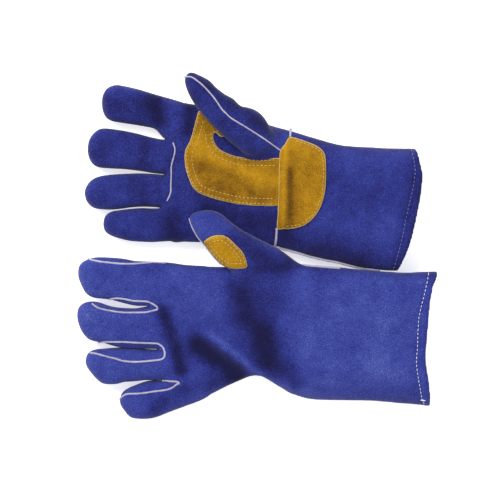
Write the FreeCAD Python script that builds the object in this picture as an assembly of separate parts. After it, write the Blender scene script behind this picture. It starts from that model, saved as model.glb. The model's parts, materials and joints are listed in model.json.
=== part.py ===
import FreeCAD, Part
import math
import os

# A pair of lined leather welding gauntlets, laid out side by side on a flat surface. The right glove lies on
# its back with the palm up. The left glove lies palm down, tilted a little, with its thumb over the edge of
# the right palm. Each glove is a leather shell cut into its sewn panels, with a lining inside and patches and
# welts outside. It bends at the roots of the fingers, at the thumb and at the wrist.
#
# Millimetres. +X runs from the fingertips to the cuff mouths, +Y from the left glove to the right glove and
# +Z up. The origin is the centre of the pair's footprint, on the surface it lies on.

V = FreeCAD.Vector
UP = V(0, 0, 1)

# ---- leather, lining and trim ----
LEATHER = 1.4
LINING = 1.6
PATCH = 1.3
LAYER_GAP = 0.05
WELT_PROUD = 1.6  # how far a welt stands out of its seam
WELT_THICK = 1.4
SQUARENESS = 2.6  # exponent of the flattened tube sections; 2 is an ellipse
SECTION_POINTS = 16
SECTION_START = 3  # the point where a section's curve closes; no panel edge runs through it
GROUND_FLAT = 0.5  # how much of the right glove's underside is pressed flat

# ---- motion, in degrees and millimetres ----
FINGER_FLEX = 60.0
THUMB_FLEX = 20.0
THUMB_OPEN = 12.0
WRIST_BEND = 40.0
LIFT = 120.0  # how far the left glove is lifted off the right one
HINGE_GAP = 0.6
HINGE_SPARE = 1.5  # room left at each end of a hinge's travel
FINGER_HINGE = 15.0  # from the hand's front edge to the bend of a finger
LEFT_TILT = 5.0  # the left glove's thumb side is raised, because it rests on the right glove
CENTRING = V(1.62, -4.35, 0)  # brings the middle of the pair's footprint over the origin
WELT_CLEARANCE = 0.35  # between a welt and the root of a finger
SMALLEST_WELT = 5.0  # cubic millimetres; anything less that a cut leaves is dropped

# ---- shape ----
HAND_FRONT_HEIGHT = 25.0
HAND_HEIGHT = 27.0
MOUTH_HEIGHT = 42.0
FINGER_HEIGHT = 23.0
FINGER_ROOT = 10.0  # how far a finger's tube runs back inside the hand
ROOT_NARROWING = 0.93
FOURCHETTE = 11.0  # height of the side wall between two fingers, at its base
FINGERS = ("index", "middle", "ring", "little")
NEIGHBOURS = {"index": (1,), "middle": (-1, 1), "ring": (-1, 1), "little": (-1,)}

# Edges: (thumb side x, y), (little finger side x, y), height. They run from the knuckles to the mouth.
# Fingers: base, tip, width at the base and width near the tip, as seen from above.
# Thumb: x, y, z, width and height of its tube, from inside the hand to the tip.
RIGHT = {
    "palm": 1,
    "edges": [
        ((-86, 152), (-92, 8), HAND_FRONT_HEIGHT),
        ((-40, 138), (-44, 8), HAND_HEIGHT),
        ((24, 122), (18, 6), HAND_HEIGHT),
        ((86, 105), (76, -6), 34.0),
        ((156, 102), (142, -15), MOUTH_HEIGHT),
    ],
    "fingers": {
        "index": ((-86, 133), (-154, 149), 33, 33),
        "middle": ((-88, 94.5), (-168, 102.5), 30, 33),
        "ring": ((-89, 61), (-170, 59.5), 30, 30),
        "little": ((-89, 27), (-152, 26.5), 31, 31),
    },
    "thumb": [
        (18, 98, 14, 26, 16),
        (-6, 117, 29, 36, 24),
        (-24, 131, 39.5, 34, 24),
        (-50, 153, 41, 31, 23),
        (-71, 171.5, 41, 27, 21),
    ],
    "wrist_hinge": 37.0,
}
LEFT = {
    "palm": -1,
    "edges": [
        ((-112, -10), (-70, -158), HAND_FRONT_HEIGHT),
        ((-42, -15), (-36, -139), HAND_HEIGHT),
        ((8, -16), (5, -124), HAND_HEIGHT),
        ((50, -16), (48, -147), 33.0),
        ((110, -19), (106, -149), 38.0),
        ((175, -20), (171, -153), MOUTH_HEIGHT),
    ],
    "fingers": {
        "index": ((-103, -33), (-177, -28), 35, 36),
        "middle": ((-92, -76), (-178, -69), 33, 34),
        "ring": ((-80, -112), (-171, -112), 30, 30),
        "little": ((-70, -143), (-136, -153), 27, 31),
    },
    "thumb": [
        (5, -36, 13, 24, 15),
        (-8, -20, 16.5, 33, 19),
        (-30, 5, 22.5, 33, 22),
        (-45, 19, 25.5, 31, 22),
        (-62, 36, 26.5, 27, 21),
    ],
    "wrist_hinge": 24.0,
}
THUMB_HINGE_STATION = 2
TIP_ROUNDING = ((0.0, 1.0), (0.45, 0.9), (0.8, 0.62), (1.0, 0.18))  # (share of the round end, size)

# Outlines in hand coordinates: millimetres from the wrist seam towards the fingers, and a share of the half
# width, from -1 at the little finger's edge to 1 at the thumb's edge.
WRIST_SEAM = 18.0  # how far the wrist seam lies in front of the wrist's hinge
PALM_PATCH = [
    (0, -0.34), (34, -0.37), (66, -0.3), (85, -0.1), (91, 0.27),
    (84, 0.57), (78, 0.82), (67, 0.8), (61, 0.5), (41, 0.4), (0, 0.46),
]
WRIST_PATCH = [(-22, -0.75), (-40, -0.66), (-54, -0.4), (-62, 0.1), (-60, 0.5), (-46, 0.76), (-22, 0.84)]
GUNN_SEAM = [(97, 0.3), (96, 0.02), (96, -0.42)]  # across the roots of the two middle fingers
GUNN_WIDTH = 2.4


# ---------------------------------------------------------------- lines and sections

def heading(a, b):
    """The unit vector from a to b, seen from above."""
    return (V(b[0], b[1], 0) - V(a[0], a[1], 0)).normalize()


def section(centre, across, half_width, half_height):
    """A closed, flattened ring in the vertical plane that holds across."""
    points = []
    for k in range(SECTION_POINTS):
        angle = 2 * math.pi * (k + SECTION_START) / SECTION_POINTS
        c, s = math.cos(angle), math.sin(angle)
        wide = math.copysign(abs(c) ** (2 / SQUARENESS), c) * half_width
        high = math.copysign(abs(s) ** (2 / SQUARENESS), s) * half_height
        points.append(centre + across * wide + UP * high)
    curve = Part.BSplineCurve()
    curve.interpolate(Points=points, PeriodicFlag=True)
    return Part.Wire(curve.toShape())


def tube(sections):
    return Part.makeLoft([section(*s) for s in sections], True, True)


def round_end(centre, forward, half_width, half_height, length):
    """The rings that close a finger or thumb over its last length."""
    across = UP.cross(forward)
    return [
        (centre + forward * (length * along), across, half_width * size, half_height * size)
        for along, size in TIP_ROUNDING
    ]


def prism(points, push):
    """A solid with a flat outline, pushed along a vector."""
    return Part.Face(Part.makePolygon(points + points[:1])).extrude(push)


def on_line(line, x):
    """The second value of a line of (x, value) points, at x."""
    for p, q in zip(line, line[1:]):
        if x <= q[0]:
            break
    return p[1] + (q[1] - p[1]) * (x - p[0]) / (q[0] - p[0])


def hand_point(glove, along, share):
    """Plan position of a point given in hand coordinates."""
    x = glove["wrist_hinge"] - WRIST_SEAM - along
    thumb_side = on_line([a for a, _, _ in glove["edges"]], x)
    little_side = on_line([b for _, b, _ in glove["edges"]], x)
    return V(x, (thumb_side + little_side) / 2 + share * (thumb_side - little_side) / 2, 0)


def mid_line(glove):
    """Where the palm side and the back meet, as (x, z) points."""
    points = [((a[0] + b[0]) / 2, height / 2) for a, b, height in glove["edges"]]
    return [(points[0][0] - 140, points[0][1])] + points + [(points[-1][0] + 40, points[-1][1])]


# ---------------------------------------------------------------- tubes

def hand_tube(glove, inset):
    """The hand and cuff as one flattened tube with its walls moved in. An inset one runs out of the mouth."""
    sections = []
    for thumb_side, little_side, height in glove["edges"]:
        a, b = V(*thumb_side, height / 2), V(*little_side, height / 2)
        sections.append([(a + b) / 2, (a - b).normalize(), (a - b).Length / 2 - inset, height / 2 - inset])
    forward = (sections[1][0] - sections[0][0]).normalize()
    sections[0][0] = sections[0][0] + forward * inset
    if inset > 0:
        out = (sections[-1][0] - sections[-2][0]).normalize() * 6
        sections.append([sections[-1][0] + out, *sections[-1][1:]])
    return tube(sections)


def finger_frame(glove, name):
    base, tip, base_width, tip_width = glove["fingers"][name]
    forward = heading(base, tip)
    return {
        "base": V(*base, HAND_FRONT_HEIGHT / 2),
        "forward": forward,
        "side": UP * glove["palm"],
        "across": UP.cross(forward),
        "length": math.dist(base, tip),
        "widths": (base_width, tip_width),
    }


def finger_tube(frame, inset):
    """A finger from inside the hand to its rounded tip, with its walls moved in by inset."""
    half_height = FINGER_HEIGHT / 2 - inset
    root, near = (width / 2 - inset for width in frame["widths"])
    round_length = near * 0.85
    straight = frame["length"] - inset - round_length

    def ring(u, half_width):
        return (frame["base"] + frame["forward"] * u, frame["across"], half_width, half_height)

    body = [ring(-FINGER_ROOT, root * ROOT_NARROWING), ring(0, root), ring(0.5 * straight, (root + near) / 2)]
    end = frame["base"] + frame["forward"] * straight
    return tube(body + round_end(end, frame["forward"], near, half_height, round_length))


def thumb_frame(glove):
    hinge, tip = glove["thumb"][THUMB_HINGE_STATION], glove["thumb"][-1]
    forward = heading(hinge, tip)
    return {"base": V(*hinge[:3]), "forward": forward, "side": UP.cross(forward)}


def thumb_tube(glove, inset):
    """The thumb from inside the hand to its tip, with its walls moved in by inset."""
    stations = glove["thumb"]
    rings = []
    for k, (x, y, z, width, height) in enumerate(stations[:-1]):
        across = UP.cross(heading(stations[max(k - 1, 0)], stations[k + 1]))
        rings.append((V(x, y, z), across, width / 2 - inset, height / 2 - inset))
    x, y, z, width, height = stations[-1]
    forward = heading(stations[-2], stations[-1])
    round_length = width * 0.45 - inset
    centre = V(x, y, z) - forward * (round_length + inset)
    return tube(rings + round_end(centre, forward, width / 2 - inset, height / 2 - inset, round_length))


# ---------------------------------------------------------------- spaces that cut the tubes into panels

def hinge_spaces(hinge, closing, opening, half_width, reach=260.0, depth=70.0):
    """The spaces before and past a hinge. Where the two come together, each is cut back by half the travel."""
    forward, side = hinge["forward"], hinge["side"]
    axis = forward.cross(side)
    close_cut = math.tan(math.radians(closing / 2 + HINGE_SPARE)) * depth
    open_cut = math.tan(math.radians(opening / 2 + HINGE_SPARE)) * depth
    near = HINGE_GAP / 2
    spaces = []
    for sign in (-1, 1):
        outline = [(near, 0), (near + close_cut, depth), (reach, depth), (reach, -depth), (near + open_cut, -depth)]
        corner = hinge["base"] - axis * half_width
        points = [corner + forward * (sign * f) + side * s for f, s in outline]
        spaces.append(prism(points, axis * (2 * half_width)))
    return spaces


def level_band(line, low, high):
    """The space between two heights above the mid line, across the whole glove."""
    wide = 600
    lower = [V(x, -wide, z + low) for x, z in line]
    upper = [V(x, -wide, z + high) for x, z in reversed(line)]
    return prism(lower + upper, V(0, 2 * wide, 0))


def outline_column(glove, outline):
    """The space over and under a smooth outline in hand coordinates."""
    curve = Part.BSplineCurve()
    curve.interpolate(Points=[hand_point(glove, *p) - UP * 50 for p in outline], PeriodicFlag=True)
    return Part.Face(Part.Wire(curve.toShape())).extrude(UP * 150)


def strip_column(points, width):
    """The space over and under a narrow strip along a line seen from above."""
    sides = []
    for sign in (-1, 1):
        sides.append([p + V(sign * width / 2, 0, -50) for p in points])
    return prism(sides[0] + sides[1][::-1], UP * 150)


def side_column(frame, low, high, start, end):
    """The space beside a thumb, between two distances from its middle and two along it."""
    corners = [(start, low), (end, low), (end, high), (start, high)]
    return prism([frame["base"] + frame["forward"] * f + frame["side"] * s - UP * 60 for f, s in corners], UP * 120)


# ---------------------------------------------------------------- parts of a glove

def finger_hinge(glove, name):
    frame = finger_frame(glove, name)
    base = frame["base"] + frame["forward"] * FINGER_HINGE
    return {"base": base, "forward": frame["forward"], "side": frame["side"]}


def wrist_hinge(glove):
    x = glove["wrist_hinge"]
    centre = hand_point(glove, -WRIST_SEAM, 0)
    return {"base": V(x, centre.y, on_line(mid_line(glove), x)), "forward": V(1, 0, 0), "side": UP}


def finger_nodes(glove, name, layers):
    """The moving part of a finger: palm side, back, side walls and lining."""
    frame = finger_frame(glove, name)
    past = hinge_spaces(finger_hinge(glove, name), FINGER_FLEX, 0, 40)[1]
    tubes = {layer: finger_tube(frame, inset) for layer, inset in layers.items()}
    leather = tubes["outer"].cut(tubes["inner"]).common(past)
    length, wall_end, high, half = frame["length"] + 20, frame["length"] - 14, 40.0, FOURCHETTE / 2

    def half_column(outline, sign):
        points = [frame["base"] + frame["forward"] * u + frame["side"] * w for u, w in outline]
        return prism(points, frame["across"] * (sign * 40.0))

    panels = {"front": [], "back": []}
    walls = []
    for sign in (-1, 1):
        wall = half if sign in NEIGHBOURS[name] else 0.0
        for panel, w in (("front", 1), ("back", -1)):
            outline = [(0, w * wall), (wall_end, 0), (length, 0), (length, w * high), (0, w * high)]
            panels[panel].append(half_column(outline, sign))
        if wall:
            walls.extend(leather.common(half_column([(0, wall), (wall_end, 0), (0, -wall)], sign)).Solids)
    return {
        f"{name}_front": leather.common(panels["front"][0].fuse(panels["front"][1])),
        f"{name}_back": leather.common(panels["back"][0].fuse(panels["back"][1])),
        f"{name}_fourchettes": Part.makeCompound(walls),
        f"{name}_lining": tubes["lining"].cut(tubes["skin"]).common(past),
    }


def thumb_nodes(glove, layers):
    """The moving part of the thumb: both leather halves, its welt, its crotch patch and its lining."""
    frame = thumb_frame(glove)
    past = hinge_spaces(frame, THUMB_FLEX, THUMB_OPEN, 60, reach=110)[1]
    tubes = {layer: thumb_tube(glove, inset) for layer, inset in layers.items()}
    leather = tubes["outer"].cut(tubes["inner"]).common(past)
    skin = thumb_tube(glove, -LAYER_GAP)
    half_welt = WELT_THICK / 2
    welt = thumb_tube(glove, -LAYER_GAP - WELT_PROUD).cut(skin)
    patch = thumb_tube(glove, -LAYER_GAP - PATCH).cut(skin)
    return {
        "thumb_front": leather.common(side_column(frame, 0, 60, -40, 120)),
        "thumb_back": leather.common(side_column(frame, -60, 0, -40, 120)),
        "thumb_welt": welt.common(side_column(frame, -half_welt, half_welt, 3, 120)).common(past),
        "thumb_patch": patch.common(side_column(frame, half_welt + 0.5, 60, 3, 24)).common(past),
        "thumb_lining": tubes["lining"].cut(tubes["skin"]).common(past),
    }


def hollow(glove, outer, inner):
    """The hand, the cuff and the roots of the fingers and thumb, as one shell between two layers."""
    shapes = []
    for inset in (outer, inner):
        roots = []
        for name in FINGERS:
            before = hinge_spaces(finger_hinge(glove, name), FINGER_FLEX, 0, 40)[0]
            roots.append(finger_tube(finger_frame(glove, name), inset).common(before))
        before = hinge_spaces(thumb_frame(glove), THUMB_FLEX, THUMB_OPEN, 60, reach=110)[0]
        roots.append(thumb_tube(glove, inset).common(before))
        whole = hand_tube(glove, inset)
        for root in roots:
            whole = whole.fuse(root)
        shapes.append(whole)
    return shapes[0].cut(shapes[1])


def hand_and_cuff_nodes(glove, layers):
    """The hand and the cuff, which share one leather tube and meet at the wrist."""
    line = mid_line(glove)
    above, below = level_band(line, 0, 90), level_band(line, -90, 0)
    palm_side, back_side = (above, below) if glove["palm"] > 0 else (below, above)
    before, past = hinge_spaces(wrist_hinge(glove), WRIST_BEND, 0, 200, reach=300)
    leather = hollow(glove, layers["outer"], layers["inner"])
    lining = hollow(glove, layers["lining"], layers["skin"])

    skin = hand_tube(glove, -LAYER_GAP)
    raised = hand_tube(glove, -LAYER_GAP - PATCH).cut(skin).common(palm_side)
    thumb_room = thumb_tube(glove, -0.3)
    palm_patch = raised.common(outline_column(glove, PALM_PATCH)).cut(thumb_room).common(before)
    wrist_patch = raised.common(outline_column(glove, WRIST_PATCH)).common(past)
    gunn = raised.common(strip_column([hand_point(glove, *p) for p in GUNN_SEAM], GUNN_WIDTH))

    proud = hand_tube(glove, -LAYER_GAP - WELT_PROUD).cut(skin)
    start, end = hand_point(glove, 88, -0.6), hand_point(glove, 4, -0.6)
    little_side = prism([V(start.x, -400, -20), V(end.x, -400, -20), end - UP * 20, start - UP * 20], UP * 90)
    side_welt = proud.common(level_band(line, -WELT_THICK / 2, WELT_THICK / 2)).common(little_side)
    welts = Part.makeCompound(gunn.Solids + side_welt.Solids)
    for name in FINGERS:
        welts = welts.cut(finger_tube(finger_frame(glove, name), -WELT_CLEARANCE))
    return {
        "hand": {
            "palm_panel": leather.common(palm_side).common(before),
            "back_panel": leather.common(back_side).common(before),
            "hand_lining": lining.common(before),
            "palm_patch": palm_patch,
            "hand_welts": Part.makeCompound([welt for welt in welts.Solids if welt.Volume > SMALLEST_WELT]),
        },
        "cuff": {
            "cuff_front": leather.common(palm_side).common(past),
            "cuff_back": leather.common(back_side).common(past),
            "cuff_lining": lining.common(past).common(hand_tube(glove, 0)),
            "wrist_patch": wrist_patch,
        },
    }


def glove_nodes(glove):
    """Every node of one glove, lying level, by body."""
    skin = LEATHER + LAYER_GAP
    layers = {"outer": 0.0, "inner": LEATHER, "lining": skin, "skin": skin + LINING}
    bodies = hand_and_cuff_nodes(glove, layers)
    for name in FINGERS:
        bodies[name] = finger_nodes(glove, name, layers)
    bodies["thumb"] = thumb_nodes(glove, layers)
    return bodies


def glove_hinges(glove):
    """The hinge of each moving body, with its lowest and highest angle."""
    hinges = {name: (finger_hinge(glove, name), 0, FINGER_FLEX) for name in FINGERS}
    hinges["thumb"] = (thumb_frame(glove), -THUMB_OPEN, THUMB_FLEX)
    hinges["cuff"] = (wrist_hinge(glove), 0, WRIST_BEND)
    return hinges


# ---------------------------------------------------------------- the pair

LEFT_TILT_LINE = V(0, -155, 0)
LEFT_DROP = 1.0  # brings the tilted left glove back down onto the surface


def placement(side):
    """How a level glove is laid down."""
    if side == "right":
        return FreeCAD.Placement(CENTRING - UP * GROUND_FLAT, FreeCAD.Rotation())
    tilt = FreeCAD.Placement(V(0, 0, 0), FreeCAD.Rotation(V(1, 0, 0), LEFT_TILT), LEFT_TILT_LINE)
    return FreeCAD.Placement(CENTRING - UP * LEFT_DROP, FreeCAD.Rotation()).multiply(tilt)


def placed(shape, side):
    """A node laid down, with anything under the surface pressed flat."""
    moved = shape.copy()
    moved.Placement = placement(side)
    if moved.BoundBox.ZMin < 0:
        under = Part.makeBox(800, 800, 100, V(-400, -400, -100))
        moved = moved.cut(under)
    return moved


def main():
    os.makedirs("parts", exist_ok=True)
    for side, glove in (("right", RIGHT), ("left", LEFT)):
        for nodes in glove_nodes(glove).values():
            for name, shape in nodes.items():
                placed(shape, side).exportStep(f"parts/{side}_{name}.step")


if __name__ == "__main__":
    main()
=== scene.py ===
import bpy
import json
import math
import numpy as np
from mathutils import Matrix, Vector


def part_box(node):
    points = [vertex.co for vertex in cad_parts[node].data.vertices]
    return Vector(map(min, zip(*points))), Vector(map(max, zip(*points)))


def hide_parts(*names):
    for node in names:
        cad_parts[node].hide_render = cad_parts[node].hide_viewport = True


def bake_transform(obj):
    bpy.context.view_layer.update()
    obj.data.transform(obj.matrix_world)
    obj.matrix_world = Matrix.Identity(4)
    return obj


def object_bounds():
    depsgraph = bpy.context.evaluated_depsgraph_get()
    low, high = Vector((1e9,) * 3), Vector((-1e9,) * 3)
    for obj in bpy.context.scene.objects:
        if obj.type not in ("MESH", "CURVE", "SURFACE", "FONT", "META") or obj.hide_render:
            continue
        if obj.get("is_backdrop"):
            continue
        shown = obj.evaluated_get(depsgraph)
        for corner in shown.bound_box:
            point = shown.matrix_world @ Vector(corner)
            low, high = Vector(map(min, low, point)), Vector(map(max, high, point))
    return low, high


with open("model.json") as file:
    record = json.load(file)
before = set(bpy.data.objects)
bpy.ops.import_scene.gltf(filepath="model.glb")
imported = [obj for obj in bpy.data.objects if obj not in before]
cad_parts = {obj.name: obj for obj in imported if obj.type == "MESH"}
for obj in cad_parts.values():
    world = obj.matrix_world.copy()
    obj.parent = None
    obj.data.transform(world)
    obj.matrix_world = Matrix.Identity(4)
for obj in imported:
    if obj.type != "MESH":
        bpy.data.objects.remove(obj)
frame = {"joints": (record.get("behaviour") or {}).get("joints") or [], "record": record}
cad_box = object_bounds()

# The gloves are soft leather solids: a smooth outline seen from above, a height above and below a middle
# surface, and folds. Each is meshed evenly, then split where the bodies meet. Lengths are millimetres in
# level glove axes. laid() takes them to the frame, and tilts the left glove as its CAD is tilted.

STEP = 1.3  # size of the mesh's faces


# ---------------------------------------------------------------- curves and maps

def curve(points, closed=False, step=2.0):
    """Evenly spaced points on a smooth line through the given ones."""
    p = np.array(points, float)
    around = np.vstack([p[-1:], p, p[:2]] if closed else [p[:1], p, p[-1:]])
    t = np.linspace(0, 1, 9)[:-1, None]
    out = []
    for a, b, c, d in zip(around, around[1:], around[2:], around[3:]):
        bend, twist = 2 * a - 5 * b + 4 * c - d, 3 * b - a - 3 * c + d
        out.append(0.5 * (2 * b + (c - a) * t + bend * t**2 + twist * t**3))
    out = np.vstack(out + ([p[:1]] if closed else [p[-1:]]))
    run = np.r_[0, np.cumsum(np.linalg.norm(np.diff(out, axis=0), axis=1))]
    count = max(int(round(run[-1] / step)), 2)
    s = np.linspace(0, run[-1], count + 1)
    return np.stack([np.interp(s, run, out[:, i]) for i in range(p.shape[1])], axis=1)


def distance(line, X, Y):
    """Distance from each place to a line."""
    best = np.full(X.shape, 1e9)
    for (ax, ay), (bx, by) in zip(line[:-1], line[1:]):
        dx, dy = bx - ax, by - ay
        t = np.clip(((X - ax) * dx + (Y - ay) * dy) / max(dx * dx + dy * dy, 1e-9), 0, 1)
        best = np.minimum(best, (X - ax - t * dx) ** 2 + (Y - ay - t * dy) ** 2)
    return np.sqrt(best)


def inside(line, X, Y):
    odd = np.zeros(X.shape, bool)
    for (ax, ay), (bx, by) in zip(line[:-1], line[1:]):
        if ay != by:
            odd ^= ((ay > Y) != (by > Y)) & (X < (bx - ax) * (Y - ay) / (by - ay) + ax)
    return odd


def depth(outline, X, Y):
    """How far inside a closed smooth outline each place is; less than 0 outside."""
    line = curve(outline, closed=True)
    return np.where(inside(line, X, Y), 1, -1) * distance(line, X, Y)


def smooth_step(x):
    x = np.clip(x, 0, 1)
    return x * x * (3 - 2 * x)


def between(m, i, j, u, v):
    """A map's value at shares u and v of the way from one place to the next."""
    low = m[i, j] * (1 - u) * (1 - v) + m[i + 1, j] * u * (1 - v)
    return low + m[i, j + 1] * (1 - u) * v + m[i + 1, j + 1] * u * v


class Grid:
    """Even places over a box, with maps sampled on them."""

    def __init__(self, low, high, step):
        self.low, self.step = np.array(low, float), step
        self.n = [int(math.ceil((h - l) / step)) + 1 for l, h in zip(low, high)]
        axes = [l + step * np.arange(n) for l, n in zip(low, self.n)]
        self.X, self.Y = np.meshgrid(axes[0], axes[1], indexing="ij")
        self.z = axes[2]

    def at(self, values, x, y):
        """A map's value at any places."""
        u = np.clip((np.asarray(x) - self.low[0]) / self.step, 0, self.n[0] - 1.001)
        v = np.clip((np.asarray(y) - self.low[1]) / self.step, 0, self.n[1] - 1.001)
        i, j = u.astype(int), v.astype(int)
        return between(values, i, j, u - i, v - j)

    def noise(self, size, seed):
        """A smooth random map between about -1 and 1, with lumps of one size."""
        r = np.random.default_rng(seed)
        coarse = r.standard_normal([int(n * self.step / size) + 4 for n in self.n[:2]])
        u = (self.X - self.low[0]) / size + 1
        v = (self.Y - self.low[1]) / size + 1
        i, j = u.astype(int), v.astype(int)
        a, b = smooth_step(u - i), smooth_step(v - j)
        return between(coarse, i, j, a, b) * 0.8


def lumps(grid, layers):
    """Random maps added up, each (height, size, seed)."""
    return sum(height * grid.noise(size, seed) for height, size, seed in layers)


def strokes(grid, marks):
    """A map of soft ridges and valleys, each (points, height, half width)."""
    total = np.zeros(grid.X.shape)
    for points, height, width in marks:
        total += height * np.exp(-0.5 * (distance(curve(points), grid.X, grid.Y) / width) ** 2)
    return total


# ---------------------------------------------------------------- meshing

def surface(field, low, step, relax=2):
    """Vertices and four-sided faces where a field passes through 0. The solid is where it is negative."""
    cells = tuple(n - 1 for n in field.shape)
    total = np.zeros(cells + (3,))
    count = np.zeros(cells)
    crossings = []
    for axis in range(3):
        a, b = (np.take(field, range(k, cells[axis] + k), axis=axis) for k in (0, 1))
        cross = (a < 0) != (b < 0)
        with np.errstate(divide="ignore", invalid="ignore"):
            t = np.where(cross, a / (a - b), 0)
        crossings.append((cross, a < 0))
        others = [k for k in range(3) if k != axis]
        for p in (0, 1):
            for q in (0, 1):
                cut = [slice(None)] * 3
                cut[others[0]] = slice(p, p + cells[others[0]])
                cut[others[1]] = slice(q, q + cells[others[1]])
                hit, along = cross[tuple(cut)], t[tuple(cut)]
                total[..., axis] += along
                total[..., others[0]] += np.where(hit, p, 0)
                total[..., others[1]] += np.where(hit, q, 0)
                count += hit
    used = count > 0
    index = np.full(cells, -1)
    index[used] = np.arange(used.sum())
    places = np.argwhere(used)
    points = (places + total[used] / count[used][:, None]) * step + np.array(low)
    faces = []
    for axis, (cross, sa) in enumerate(crossings):
        u, v = (axis + 1) % 3, (axis + 2) % 3
        hits = np.argwhere(cross)
        hits = hits[(hits[:, u] > 0) & (hits[:, v] > 0) & (hits[:, u] < cells[u]) & (hits[:, v] < cells[v])]
        corners = []
        for du, dv in ((1, 1), (0, 1), (0, 0), (1, 0)):
            c = hits.copy()
            c[:, u] -= du
            c[:, v] -= dv
            corners.append(index[tuple(c.T)])
        quad = np.stack(corners, axis=1)
        flip = ~sa[tuple(hits.T)]
        quad[flip] = quad[flip][:, ::-1]
        faces.append(quad)
    faces = np.vstack(faces)
    for _ in range(relax):
        near = np.zeros_like(points)
        times = np.zeros(len(points))
        for k in range(4):
            a, b = faces[:, k], faces[:, (k + 1) % 4]
            for i in range(3):
                pull = np.bincount(a, points[b, i], len(points)) + np.bincount(b, points[a, i], len(points))
                near[:, i] += pull
            times += np.bincount(a, minlength=len(points)) + np.bincount(b, minlength=len(points))
        points = 0.5 * points + 0.5 * near / np.maximum(times, 1)[:, None]
    return points, faces


def middles(points, faces):
    """x and y of the middle of each face."""
    return points[faces].mean(axis=1).T[:2]


def trimmed(points, faces, keep):
    """Only some faces, with the points they use."""
    faces = faces[keep]
    used, renumbered = np.unique(faces, return_inverse=True)
    return points[used], renumbered.reshape(faces.shape)


def joined_mesh(parts):
    points, faces, start = [], [], 0
    for p, f in parts:
        points.append(p)
        faces.append(f + start)
        start += len(p)
    return np.vstack(points), np.vstack(faces)


def linked(name, data):
    """A new object in the scene."""
    obj = bpy.data.objects.new(name, data)
    bpy.context.scene.collection.objects.link(obj)
    return obj


def make(name, points, faces, material, place, maps=None):
    """A Blender mesh from millimetre points; maps are values kept on its points for its material."""
    mesh = bpy.data.meshes.new(name)
    placed = place(points) / 1000
    mesh.from_pydata(placed.tolist(), [], faces.tolist())
    rest = mesh.attributes.new("rest", "FLOAT_VECTOR", "POINT")
    rest.data.foreach_set("vector", placed.astype(np.float32).ravel())
    mesh.polygons.foreach_set("use_smooth", [True] * len(mesh.polygons))
    for key, values in (maps or {}).items():
        layer = mesh.attributes.new(key, "FLOAT", "POINT")
        layer.data.foreach_set("value", np.asarray(values, np.float32))
    mesh.materials.append(material)
    mesh.update()
    return linked(name, mesh)


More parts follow.
